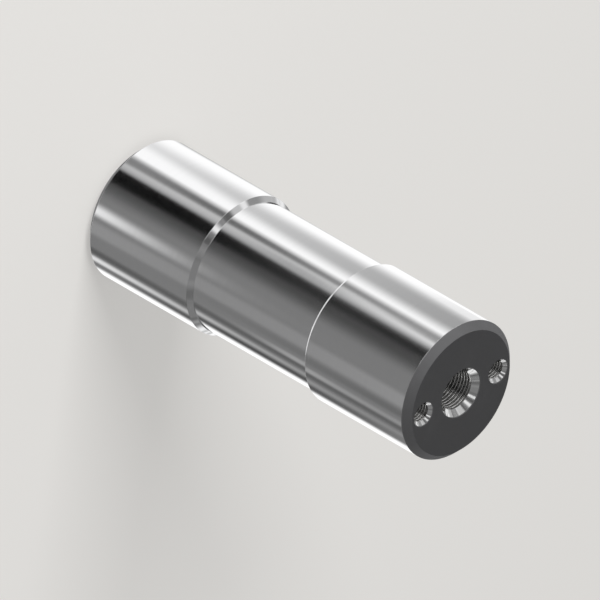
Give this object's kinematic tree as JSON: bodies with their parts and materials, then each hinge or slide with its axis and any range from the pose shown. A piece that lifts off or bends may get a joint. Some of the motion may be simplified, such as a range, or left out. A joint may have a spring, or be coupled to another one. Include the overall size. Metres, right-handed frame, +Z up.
{
  "type": "stepped shaft",
  "caption": "Round steel shaft with equal bearing lands at both ends, a slimmer waist between sloped shoulders, and tapped holes in one end.",
  "frame": {"origin": "centre of the plain end face, on which the shaft stands", "axes": "+Z up the shaft's axis from the plain end to the tapped end; the three tapped holes lie in a row along X"},
  "size_m": [0.08, 0.08, 0.2375],
  "materials": {
    "polished_steel": "ground and polished bright steel with a dark, unpolished tapped end"
  },
  "bodies": {
    "root": {"stepped_shaft": "polished_steel"}
  },
  "joints": []
}
